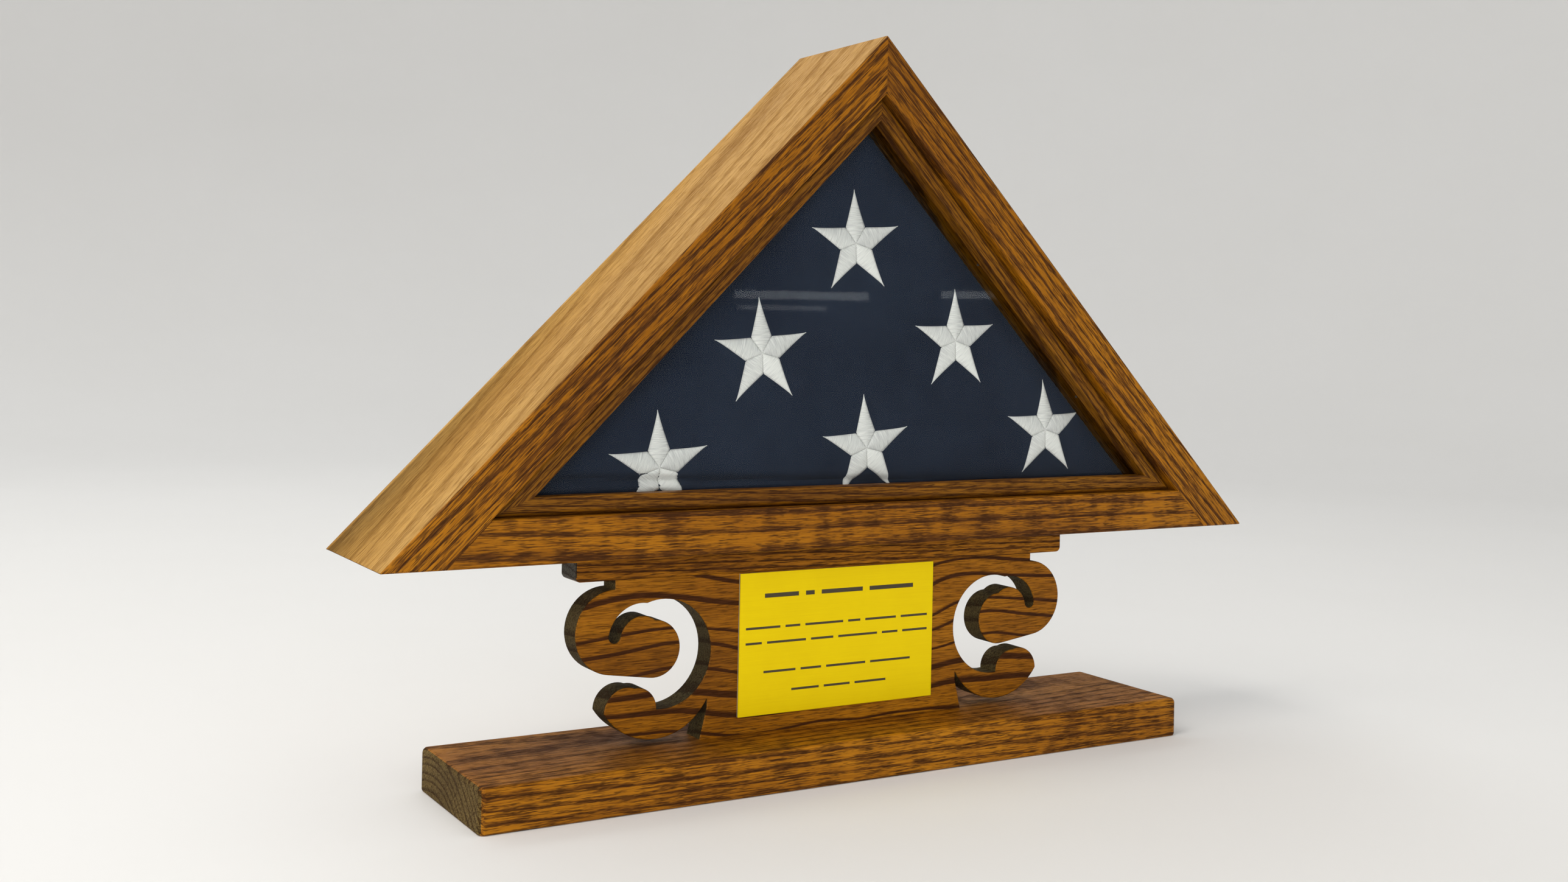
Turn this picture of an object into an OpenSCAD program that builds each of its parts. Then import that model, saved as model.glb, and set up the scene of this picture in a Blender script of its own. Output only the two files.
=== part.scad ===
// Folded-flag display case: a three-board triangular case, glazed in front and closed behind by a
// panel under turn buttons, standing on a scroll-cut pedestal. Millimetres, +Z up, front towards -Y.

/* [Case] */
// Outer width of the case along its bottom edge
case_w = 462; // [440:1:500]
// Depth of the three case boards, front to back
case_d = 76; // [74:1:90]
// Thickness of the case boards
board_t = 19; // [18:0.5:22]
// Height of the case's bottom face above the table
case_z = 106; // [106:1:120]

/* [Glazing] */
// Face width of the glass bead, measured inwards from the board
bead_w = 8; // [6:0.5:10]
// Depth of the glass bead, front to back
bead_d = 6.4; // [6:0.1:8]
// How far the bead's face is set back from the front of the boards
bead_set = 4.2; // [3:0.1:6]
// Radius of the bead's round shoulder, beside the board
bead_r = 3; // [2:0.1:3]
// Thickness of the glass
glass_t = 2.4; // [2:0.1:3]
// Width of the stop strips behind the glass
stop_w = 6; // [5:0.5:7]
// Depth of the stop strips, front to back
stop_d = 5.6; // [5:0.1:7]

/* [Back] */
// Thickness of the back panel
panel_t = 4.8; // [4:0.1:4.9]
// Width of the board's back edge outside the panel's rebate
lip_w = 11; // [10.5:0.1:12]
// Depth of the panel's rebate
rebate_d = 5; // [5:0.1:6]
// Thickness of a turn button
button_t = 1.6; // [1.2:0.1:2]
// Distance from a turn button's screw to the middle of its narrow end
button_reach = 12; // [11:0.5:14]

/* [Flag] */
// Gap between the folded flag and the slope boards
flag_gap = 7; // [7:0.5:12]
// Air between the glass and the folded flag
flag_air = 2.5; // [2:0.5:6]
// Air between the folded flag and the back panel
flag_back = 3.5; // [3:0.5:8]

/* [Pedestal] */
// Length of the base board
base_l = 376; // [340:1:420]
// Depth of the base board
base_d = 72; // [66:1:74]
// Thickness of the base board
base_t = 19; // [17:0.5:19]
// Radius of the base board's upright corners
base_r = 3; // [1:0.5:8]
// Thickness of the scroll-cut board
scroll_t = 12.5; // [12:0.5:16]
// Length of the cap strip between the scroll board and the case
cap_l = 270; // [250:1:300]
// Height of the cap strip
cap_h = 13.5; // [12:0.5:13.5]
// Depth of the cap strip
cap_d = 16; // [14:0.5:20]

/* [Name plate] */
// Width of the plate
plate_w = 108; // [80:1:118]
// Height of the plate
plate_h = 65; // [50:1:65]
// Thickness of the plate
plate_t = 0.8; // [0.5:0.1:1.5]
// Thickness of the adhesive sheet behind the plate
glue_t = 0.4; // [0.2:0.1:0.6]

/* [Hidden] */
$fn = 64;

// Colours
oak = "#8a5518";
oak_light = "#a87434";
oak_dark = "#6d4214";
steel = "#b9bcc0";
brass = "#c9a94a";

// Small clearances
fit = 0.05;     // between a screw and the button that turns on it, and around seated parts
slack = 0.5;    // between a loose panel or pane and the boards around it
hole_fit = 0.02; // between a driven screw or brad and its hole

// Case outline: a right angle at the top, 45 degrees at both ends of the bottom
case_h = case_w / 2;
mitre = 1 + sqrt(2);                // width lost at a 45-degree corner for each unit of inset
board_slope = board_t * sqrt(2);    // slope board's thickness, measured upright

// Depths behind the case's front face
glass_y = bead_set + bead_d;
stop_y = glass_y + glass_t;
rebate_y = case_d - rebate_d;
button_air = 0.1;                   // above and below a turn button
button_y = case_d + button_air;
screw_head_h = 2.2;
head_y = button_y + button_t + button_air;
total_d = head_y + screw_head_h;
flag_y = stop_y + flag_air;
flag_t = rebate_y - flag_back - flag_y;
front_y = -total_d / 2;             // the whole depth is centred on Y
base_y = 1;
scroll_y = 31.5;
cap_y = scroll_y - 0.5;

// Heights
scroll_h = case_z - base_t - cap_h;
cap_z = case_z - cap_h;
plate_z = base_t + 8;

// Sides of the case, as numbers for the placing modules
BOTTOM = 0;
LEFT = 1;
RIGHT = 2;

// Turn buttons: the side, the distance along it from the side's middle, and which way the long end lies
button_screw_inset = 5.5;
button_r = 4.5;
button_tip_r = 3.5;
button_screw_d = 3.5;
bottom_button_x = 105;
button_spots = [[LEFT, 0, 0], [RIGHT, 0, 180], [BOTTOM, -bottom_button_x, 0], [BOTTOM, bottom_button_x, 180]];

// Wood screws
wood_screw_d = 4.2;
wood_head_d = 8.4;
wood_head_h = 2.6;
case_screw_x = 58;
case_screw_l = 50;
base_screw_x = 48;
base_screw_l = 50;
base_sink = 0.5;                    // depth of the base screws' heads below the base's underside
brad_d = 1.2;
brad_l = 14;

// Scroll outline, for the right half: [x, height above the base] and radius of each round
upper_lobe = [116, 51];
upper_lobe_r = 18.6;
curl = [96.3, 42.2];
curl_r = 12.7;
throat = [92.2, 39.7];
throat_r = 24.2;
slot = [102.6, 46.6];
slot_r_in = 10.6;
slot_r_out = 16.2;
slot_end_a = 10;
slot_open_a = 120;
lower_lobe = [109.3, 15.5];
lower_lobe_r = 11;
lower_curl = [104.5, 16];
lower_curl_r = 9.8;
sweep = [95.5, 32.3];
sweep_r = 29.8;
panel_x = 69.5;                     // edge of the centre panel at the foot notch
notch_h = 14;
foot_x = 73;

// Corners of the case triangle at an inset from its outer faces
function inset_triangle(inset) = [
    [-case_w / 2 + inset * mitre, inset],
    [case_w / 2 - inset * mitre, inset],
    [0, case_h - inset * sqrt(2)]
];

// Point at a distance and an angle from a centre
function polar(centre, r, a) = centre + r * [cos(a), sin(a)];

// Direction from the centres of two discs to the tangent that touches both on their right-hand side
function tangent_angle(c1, r1, c2, r2) =
    let (v = c2 - c1) atan2(v[1], v[0]) - acos((r1 - r2) / norm(v));

// Stands an outline in X and Z up in the case, from one depth behind the front face to another
module upright(y0, y1) {
    translate([0, front_y + y1, 0])
        rotate([90, 0, 0])
            linear_extrude(y1 - y0)
                children();
}

// The same, with heights measured from the case's bottom face
module case_layer(y0, y1) {
    translate([0, 0, case_z])
        upright(y0, y1)
            children();
}

// Places children on one side of the case: X along it from its middle, Y back from the front face,
// Z inwards from its outer face
module on_side(side) {
    angle = [0, 135, -135][side];
    spot = [[0, 0], [-case_w / 4, case_h / 2], [case_w / 4, case_h / 2]][side];
    translate([spot[0], front_y, case_z + spot[1]])
        rotate([0, angle, 0])
            children();
}

// A moulding along one side, mitred where the sides meet; children give its section in Z (inwards)
// and Y (back), drawn as X and Y
module mitred_strip(side) {
    length = side == BOTTOM ? case_w : case_w / sqrt(2);
    corners = inset_triangle(0);
    middle = [0, case_h / mitre];
    ends = [[corners[0], corners[1]], [corners[0], corners[2]], [corners[1], corners[2]]][side];
    intersection() {
        on_side(side)
            rotate([0, -90, 0])
                translate([0, 0, -length / 2])
                    linear_extrude(length)
                        children();
        case_layer(0, case_d)
            polygon([ends[0], ends[1], middle]);
    }
}

// Solid shape of a countersunk wood screw, head down at the origin, driven upwards
module wood_screw(length, extra) {
    cylinder(h = wood_head_h, d1 = wood_head_d + extra, d2 = wood_screw_d + extra);
    cylinder(h = length, d = wood_screw_d + extra);
}

module case_screw_row(extra) {
    for (x = [-case_screw_x, case_screw_x])
        translate([x, front_y + scroll_y + scroll_t / 2, case_z + board_t])
            rotate([180, 0, 0])
                wood_screw(case_screw_l, extra);
}

module base_screw_row(extra) {
    for (x = [-base_screw_x, base_screw_x])
        translate([x, front_y + scroll_y + scroll_t / 2, base_sink])
            wood_screw(base_screw_l, extra);
}

// Brads through one stop strip into its board
module brad_row(side, extra) {
    half_gap = side == BOTTOM ? 67.5 : 45;
    for (x = [-half_gap, half_gap])
        on_side(side)
            translate([x, stop_y + stop_d / 2, board_t + stop_w - brad_l])
                cylinder(h = brad_l, d = brad_d + extra, $fn = 24);
}

// Places children at a turn button's screw, with Z pointing back out of the board
module at_button(spot) {
    on_side(spot[0])
        translate([spot[1], 0, button_screw_inset])
            rotate([-90, 0, 0])
                children();
}

module button_screw(extra) {
    shank_l = 20;
    translate([0, 0, case_d - shank_l])
        cylinder(h = shank_l + head_y - case_d, d = button_screw_d + extra);
}

module button_screw_holes(side) {
    for (spot = button_spots)
        if (spot[0] == side)
            at_button(spot)
                button_screw(hole_fit);
}

// A case board's outline, cut for the back panel, its turn buttons and its stop's brads
module case_board(side, outline) {
    difference() {
        case_layer(0, case_d)
            polygon(outline);
        case_layer(rebate_y, case_d + 1)
            polygon(inset_triangle(lip_w));
        button_screw_holes(side);
        brad_row(side, hole_fit);
    }
}

module slope_board(side) {
    dir = side == LEFT ? -1 : 1;
    case_board(side, [
        [dir * case_w / 2, 0],
        [0, case_h],
        [0, case_h - board_slope],
        [dir * (case_h - board_slope), 0]
    ]);
}

module side_board_left() {
    color(oak_light)
        slope_board(LEFT);
}

module side_board_right() {
    color(oak)
        slope_board(RIGHT);
}

module side_board_bottom() {
    end = case_h - board_slope;
    color(oak)
        difference() {
            case_board(BOTTOM, [[-end, 0], [end, 0], [end - board_t, board_t], [board_t - end, board_t]]);
            case_screw_row(hole_fit);
        }
}

// Bead section: a flat face with a round shoulder beside the board
module bead_section() {
    translate([board_t + bead_r, bead_set])
        square([bead_w - bead_r, bead_d]);
    translate([board_t, bead_set + bead_r])
        square([bead_w, bead_d - bead_r]);
    translate([board_t + bead_r, bead_set + bead_r])
        circle(r = bead_r);
}

module bead(side) {
    color(oak_dark)
        mitred_strip(side)
            bead_section();
}

module bead_left() {
    bead(LEFT);
}

module bead_right() {
    bead(RIGHT);
}

module bead_bottom() {
    bead(BOTTOM);
}

module glass_pane() {
    color("#b8ccd6", 0.35)
        case_layer(glass_y, stop_y)
            polygon(inset_triangle(board_t + slack));
}

// Stop section: a quarter round with its flat sides on the glass and the board
module stop_section() {
    intersection() {
        translate([board_t, stop_y])
            square([stop_w, stop_d]);
        translate([board_t, stop_y])
            circle(r = max(stop_w, stop_d));
    }
}

module glass_stop(side) {
    color(oak_dark)
        difference() {
            mitred_strip(side)
                stop_section();
            brad_row(side, hole_fit);
        }
}

module glass_stop_left() {
    glass_stop(LEFT);
}

module glass_stop_right() {
    glass_stop(RIGHT);
}

module glass_stop_bottom() {
    glass_stop(BOTTOM);
}

module glass_stop_brads() {
    color(steel)
        for (side = [BOTTOM, LEFT, RIGHT])
            brad_row(side, 0);
}

// Folded flag: a triangular pad, fuller in the middle of its front and back than at its edges
module folded_flag() {
    corner_r = 5;
    edge_set = 4.5;
    crown = 9;
    drop = board_t + slack;
    inset = board_t + flag_gap;
    half_w = case_h - inset * sqrt(2) - drop;
    top = case_h - inset * sqrt(2);
    rim = [
        [-half_w + corner_r * mitre, drop + corner_r],
        [half_w - corner_r * mitre, drop + corner_r],
        [0, top - corner_r * sqrt(2)]
    ];
    crown_rim = [
        rim[0] + [crown * mitre, crown],
        rim[1] + [-crown * mitre, crown],
        rim[2] - [0, crown * sqrt(2)]
    ];
    color("#20294a")
        hull() {
            case_layer(flag_y + edge_set, flag_y + flag_t - edge_set)
                for (p = rim)
                    translate(p)
                        circle(r = corner_r, $fn = 32);
            case_layer(flag_y, flag_y + flag_t)
                for (p = crown_rim)
                    translate(p)
                        circle(r = corner_r, $fn = 32);
        }
}

module back_panel() {
    color("#b99a6b")
        case_layer(rebate_y + fit, rebate_y + fit + panel_t)
            polygon(inset_triangle(lip_w + slack));
}

// Turn button: two rounds joined by their tangents, with the screw's hole in the wide end
module turn_button(spot) {
    tip = [button_reach, 0];
    a = tangent_angle([0, 0], button_r, tip, button_tip_r);
    wide = button_r * [cos(a), sin(a)];
    narrow = button_tip_r * [cos(a), sin(a)];
    color(brass)
        at_button(spot)
            translate([0, 0, button_y])
                rotate([0, 0, spot[2]])
                    linear_extrude(button_t)
                        difference() {
                            union() {
                                circle(r = button_r);
                                translate(tip)
                                    circle(r = button_tip_r);
                                polygon([
                                    wide,
                                    tip + narrow,
                                    tip + [narrow[0], -narrow[1]],
                                    [wide[0], -wide[1]]
                                ]);
                            }
                            circle(d = button_screw_d + 2 * fit);
                        }
}

module turn_button_left() {
    turn_button(button_spots[0]);
}

module turn_button_right() {
    turn_button(button_spots[1]);
}

module turn_button_bottom_left() {
    turn_button(button_spots[2]);
}

module turn_button_bottom_right() {
    turn_button(button_spots[3]);
}

// Pan-head screws with a cross recess
module turn_button_screws() {
    head_d = 7;
    recess = [3.6, 0.9, 1.2];
    color(steel)
        for (spot = button_spots)
            at_button(spot)
                difference() {
                    union() {
                        button_screw(0);
                        translate([0, 0, head_y])
                            cylinder(h = screw_head_h, d1 = head_d, d2 = head_d - 2);
                    }
                    for (a = [0, 90])
                        translate([0, 0, total_d])
                            rotate([0, 0, a])
                                cube([recess[0], recess[1], 2 * recess[2]], center = true);
                }
}

// Cap strip, with the lower corners of its ends rounded
module pedestal_cap() {
    end_r = 2.5;
    color(oak_dark)
        difference() {
            upright(cap_y, cap_y + cap_d)
                union() {
                    translate([-cap_l / 2, cap_z + end_r])
                        square([cap_l, cap_h - end_r]);
                    translate([-cap_l / 2 + end_r, cap_z])
                        square([cap_l - 2 * end_r, cap_h]);
                    for (x = [-cap_l / 2 + end_r, cap_l / 2 - end_r])
                        translate([x, cap_z + end_r])
                            circle(r = end_r);
                }
            case_screw_row(hole_fit);
        }
}

// Tail of the slot that curls into the upper lobe
module slot_tail() {
    mid_r = (slot_r_in + slot_r_out) / 2;
    far = 2 * slot_r_out;
    mid_a = (slot_end_a + slot_open_a) / 2;
    intersection() {
        difference() {
            translate(slot)
                circle(r = slot_r_out);
            translate(slot)
                circle(r = slot_r_in);
        }
        polygon([
            slot,
            polar(slot, far, slot_end_a),
            polar(slot, far, mid_a),
            polar(slot, far, slot_open_a)
        ]);
    }
    translate(polar(slot, mid_r, slot_end_a))
        circle(r = (slot_r_out - slot_r_in) / 2);
}

// Upper lobe, joined to the curl inside the throat
module upper_scroll() {
    a = tangent_angle(curl, curl_r, upper_lobe, upper_lobe_r);
    difference() {
        union() {
            translate(upper_lobe)
                circle(r = upper_lobe_r);
            translate(curl)
                circle(r = curl_r);
            translate(slot)
                circle(r = slot_r_in);
            polygon([curl, polar(curl, curl_r, a), polar(upper_lobe, upper_lobe_r, a), upper_lobe]);
        }
        slot_tail();
    }
}

// Lower lobe, cut off below by the same sweep as the leg
module lower_scroll() {
    intersection() {
        union() {
            translate(lower_lobe)
                circle(r = lower_lobe_r);
            translate(lower_curl)
                circle(r = lower_curl_r);
        }
        translate(sweep)
            circle(r = sweep_r);
    }
}

// Centre panel, arm and leg, with the round throat and the slot cut out of them
module scroll_body() {
    arm_h = throat[1];
    difference() {
        union() {
            square([panel_x, scroll_h]);
            polygon([[0, 0], [foot_x, 0], [panel_x, notch_h], [0, notch_h]]);
            translate([0, arm_h])
                square([upper_lobe[0], scroll_h - arm_h]);
            intersection() {
                translate(sweep)
                    circle(r = sweep_r);
                square([lower_lobe[0], arm_h]);
            }
        }
        translate(throat)
            circle(r = throat_r);
        slot_tail();
    }
}

module scroll_half() {
    scroll_body();
    upper_scroll();
    lower_scroll();
}

module scroll_board() {
    color(oak)
        difference() {
            translate([0, 0, base_t])
                upright(scroll_y, scroll_y + scroll_t)
                    union() {
                        scroll_half();
                        mirror([1, 0])
                            scroll_half();
                    }
            case_screw_row(hole_fit);
            base_screw_row(hole_fit);
        }
}

module base_board() {
    corner = [base_l / 2 - base_r, base_d / 2 - base_r];
    color(oak)
        difference() {
            translate([0, front_y + base_y + base_d / 2, 0])
                linear_extrude(base_t)
                    union() {
                        square([base_l, base_d - 2 * base_r], center = true);
                        square([base_l - 2 * base_r, base_d], center = true);
                        for (x = [-corner[0], corner[0]], y = [-corner[1], corner[1]])
                            translate([x, y])
                                circle(r = base_r);
                    }
            base_screw_row(hole_fit);
            // straight mouth of each countersink, below the sunk head
            for (x = [-base_screw_x, base_screw_x])
                translate([x, front_y + scroll_y + scroll_t / 2, -1])
                    cylinder(h = 1 + base_sink, d = wood_head_d + hole_fit);
        }
}

module plate_outline() {
    translate([-plate_w / 2, plate_z])
        square([plate_w, plate_h]);
}

module name_plate() {
    color("#d9b61f")
        upright(scroll_y - glue_t - plate_t, scroll_y - glue_t)
            plate_outline();
}

module plate_adhesive() {
    color("#e8e4d8")
        upright(scroll_y - glue_t, scroll_y)
            plate_outline();
}

module case_screws() {
    color(steel)
        case_screw_row(0);
}

module base_screws() {
    color(steel)
        base_screw_row(0);
}

side_board_left();
side_board_right();
side_board_bottom();
bead_left();
bead_right();
bead_bottom();
glass_pane();
glass_stop_left();
glass_stop_right();
glass_stop_bottom();
glass_stop_brads();
folded_flag();
back_panel();
turn_button_left();
turn_button_right();
turn_button_bottom_left();
turn_button_bottom_right();
turn_button_screws();
pedestal_cap();
scroll_board();
base_board();
name_plate();
plate_adhesive();
case_screws();
base_screws();
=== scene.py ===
"""Folded-flag display case on a scroll-cut pedestal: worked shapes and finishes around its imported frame.

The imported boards, glass, flag space and plate give the places and sizes. What the frame doesn't hold, such as
the stars, the rounding of edges, the finishes and the lights, stands in the fields of its class. Lengths are
metres, +Z is up and the glass faces -Y.
"""

from __future__ import annotations

import logging
import math
from collections.abc import Callable, Iterable, Sequence
from dataclasses import dataclass, field
from enum import Enum
from typing import Any

import bmesh
import bpy
import numpy as np
from mathutils import Matrix, Vector, noise
from mathutils.bvhtree import BVHTree


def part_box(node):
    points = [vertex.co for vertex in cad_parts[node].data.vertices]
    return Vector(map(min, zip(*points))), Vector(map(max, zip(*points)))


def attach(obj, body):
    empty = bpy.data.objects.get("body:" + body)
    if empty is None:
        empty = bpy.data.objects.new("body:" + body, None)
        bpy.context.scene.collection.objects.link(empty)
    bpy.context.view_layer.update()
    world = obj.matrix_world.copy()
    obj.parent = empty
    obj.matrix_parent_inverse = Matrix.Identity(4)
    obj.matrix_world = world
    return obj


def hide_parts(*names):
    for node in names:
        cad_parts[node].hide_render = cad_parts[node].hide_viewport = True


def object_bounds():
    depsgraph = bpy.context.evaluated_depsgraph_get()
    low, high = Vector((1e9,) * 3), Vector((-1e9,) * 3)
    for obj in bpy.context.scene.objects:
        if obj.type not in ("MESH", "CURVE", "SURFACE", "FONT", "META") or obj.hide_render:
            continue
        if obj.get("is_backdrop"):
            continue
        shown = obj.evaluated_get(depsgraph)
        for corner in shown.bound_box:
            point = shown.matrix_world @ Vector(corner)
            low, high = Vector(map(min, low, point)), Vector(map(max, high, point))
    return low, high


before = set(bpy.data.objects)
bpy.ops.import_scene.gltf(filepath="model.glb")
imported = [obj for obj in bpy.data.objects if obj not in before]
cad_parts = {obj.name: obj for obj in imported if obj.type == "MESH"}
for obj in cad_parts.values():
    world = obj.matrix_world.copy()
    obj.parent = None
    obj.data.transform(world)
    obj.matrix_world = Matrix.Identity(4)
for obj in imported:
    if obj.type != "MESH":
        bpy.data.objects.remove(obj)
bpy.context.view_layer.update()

LOG = logging.getLogger("flag_case")

Colour = tuple[float, float, float]
Place = tuple[float, float, float]
Point = tuple[float, float]
Input = Any

MM = 0.001
ROOT2 = math.sqrt(2)
MITRE = 1 + ROOT2
CASE = "case"
SHARP = math.radians(38)
TOUCH = 0.01 * MM
NEAR = 0.1 * MM
FLAT = 0.004
SPREAD = math.pi / 5


# ---------------------------------------------------------------- shader maths


class Value:
    """One socket's value in a shader, with arithmetic that adds Math nodes."""

    def __init__(self, shader: Shader, socket: bpy.types.NodeSocket) -> None:
        """Wraps an output socket of a shader."""
        self.shader = shader
        self.socket = socket

    def _math(self, operation: str, *values: Input, clamp: bool = False) -> Value:
        """One Math node.

        Args:
            operation: Blender's name for the operation.
            values: its inputs, in order.
            clamp: whether the result is kept from 0 to 1.

        Returns:
            The node's value.
        """
        settings = {"operation": operation, "use_clamp": clamp}
        return self.shader.node("ShaderNodeMath", settings, dict(enumerate(values)))

    def __add__(self, other: Input) -> Value:
        """Sum."""
        return self._math("ADD", self, other)

    def __radd__(self, other: Input) -> Value:
        """Sum, reflected."""
        return self._math("ADD", other, self)

    def __sub__(self, other: Input) -> Value:
        """Difference."""
        return self._math("SUBTRACT", self, other)

    def __rsub__(self, other: Input) -> Value:
        """Difference, reflected."""
        return self._math("SUBTRACT", other, self)

    def __mul__(self, other: Input) -> Value:
        """Product."""
        return self._math("MULTIPLY", self, other)

    def __rmul__(self, other: Input) -> Value:
        """Product, reflected."""
        return self._math("MULTIPLY", other, self)

    def __truediv__(self, other: Input) -> Value:
        """Quotient."""
        return self._math("DIVIDE", self, other)

    def __pow__(self, other: Input) -> Value:
        """Power."""
        return self._math("POWER", self, other)

    def fraction(self) -> Value:
        """The part after the decimal point."""
        return self._math("FRACT", self)

    def wave(self) -> Value:
        """Sine."""
        return self._math("SINE", self)

    def kept(self) -> Value:
        """Value kept from 0 to 1."""
        return self._math("ADD", self, 0.0, clamp=True)

    def rise(self, low: float, high: float) -> Value:
        """A smooth step.

        Args:
            low: where the step leaves 0.
            high: where the step reaches 1.

        Returns:
            The step, from 0 to 1.
        """
        settings = {"interpolation_type": "SMOOTHSTEP"}
        return self.shader.node(
            "ShaderNodeMapRange", settings, {"Value": self, "From Min": low, "From Max": high}
        )


class Shader:
    """A material's node tree, with one method that adds every node."""

    def __init__(self, name: str) -> None:
        """Starts an empty material.

        Args:
            name: its name.
        """
        self.material = bpy.data.materials.new(name)
        self.material.use_nodes = True
        self.tree = self.material.node_tree
        self.tree.nodes.clear()

    def node(
        self,
        kind: str,
        settings: dict[str, Any] | None = None,
        inputs: dict[str | int, Input] | None = None,
        out: str | int = 0,
    ) -> Value:
        """Adds one node.

        Args:
            kind: the node's type.
            settings: its own properties, set first; "stops" are a ramp's places and colours.
            inputs: the values or links of its sockets.
            out: the output that is wanted.

        Returns:
            That output's value.
        """
        node = self.tree.nodes.new(kind)
        for key, value in (settings or {}).items():
            if key == "stops":
                ramp = node.color_ramp
                while len(ramp.elements) < len(value):
                    ramp.elements.new(0.5)
                for element, (place, colour) in zip(ramp.elements, value):
                    element.position = place
                    element.color = (*colour, 1.0)
            else:
                setattr(node, key, value)
        for key, value in (inputs or {}).items():
            socket = node.inputs[key]
            if isinstance(value, Value):
                self.tree.links.new(value.socket, socket)
            elif isinstance(value, tuple) and socket.type == "RGBA":
                socket.default_value = (*value, 1.0)
            else:
                socket.default_value = value
        return Value(self, node.outputs[out]) if len(node.outputs) else Value(self, None)

    def place(self) -> Value:
        """The piece's own coordinates, in metres."""
        return self.node("ShaderNodeTexCoord", out="Object")

    def stretched(self, at: Value, scale: Place) -> Value:
        """Coordinates times a scale of their own on each axis."""
        return self.node("ShaderNodeVectorMath", {"operation": "MULTIPLY"}, {0: at, 1: scale})

    def turned(self, at: Value, shift: Place, turn: Place) -> Value:
        """Coordinates turned by Euler angles, then shifted."""
        inputs = {"Vector": at, "Location": shift, "Rotation": turn}
        return self.node("ShaderNodeMapping", None, inputs)

    def split(self, at: Value) -> tuple[Value, Value, Value]:
        """Coordinates as three values.

        Args:
            at: the coordinates.

        Returns:
            X, Y and Z.
        """
        parts = self.node("ShaderNodeSeparateXYZ", None, {0: at})
        outputs = parts.socket.node.outputs
        return tuple(Value(self, outputs[i]) for i in range(3))

    def noise(self, at: Value, scale: Place | float, detail: float = 2.0, rough: float = 0.5) -> Value:
        """Noise from 0 to 1.

        Args:
            at: coordinates.
            scale: cells per metre, on each axis or on all.
            detail: octaves.
            rough: how much the fine octaves count.

        Returns:
            The noise.
        """
        if isinstance(scale, tuple):
            at, scale = self.stretched(at, scale), 1.0
        inputs = {"Vector": at, "Scale": scale, "Detail": detail, "Roughness": rough}
        return self.node("ShaderNodeTexNoise", None, inputs)

    def ramp(self, value: Value, stops: Sequence[tuple[float, Colour]]) -> Value:
        """Colours along a value."""
        return self.node("ShaderNodeValToRGB", {"stops": stops}, {0: value})

    def mix(self, a: Input, b: Input, share: Input) -> Value:
        """Two colours mixed.

        Args:
            a: first colour.
            b: second colour.
            share: how much of the second.

        Returns:
            The colour.
        """
        return self.node("ShaderNodeMix", {"data_type": "RGBA"}, {0: share, 6: a, 7: b}, out=2)

    def bump(self, height: Value, depth: float, strength: float = 1.0) -> Value:
        """A normal from a height.

        Args:
            height: the height, about 0 to 1.
            depth: what 1 is, in metres.
            strength: how much it counts.

        Returns:
            The normal.
        """
        inputs = {"Height": height, "Distance": depth, "Strength": strength}
        return self.node("ShaderNodeBump", None, inputs)

    def surface(self, **inputs: Input) -> bpy.types.Material:
        """Ends the tree in a Principled shader.

        Args:
            inputs: its sockets, with _ for each space.

        Returns:
            The material.
        """
        named = {key.replace("_", " "): value for key, value in inputs.items()}
        return self.end(self.node("ShaderNodeBsdfPrincipled", None, named))

    def end(self, shader: Value) -> bpy.types.Material:
        """Ends the tree in a shader and returns the material."""
        self.node("ShaderNodeOutputMaterial", None, {"Surface": shader})
        return self.material


# ---------------------------------------------------------------- finishes


class Grain(Enum):
    """Which way a board's grain runs, as the turn about Y that lays it along X."""

    LEVEL = 0.0
    LEFT_SLOPE = math.pi / 4
    RIGHT_SLOPE = -math.pi / 4

    def direction(self) -> Vector:
        """Unit vector along the grain."""
        return Vector((math.cos(self.value), 0.0, math.sin(self.value)))


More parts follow.
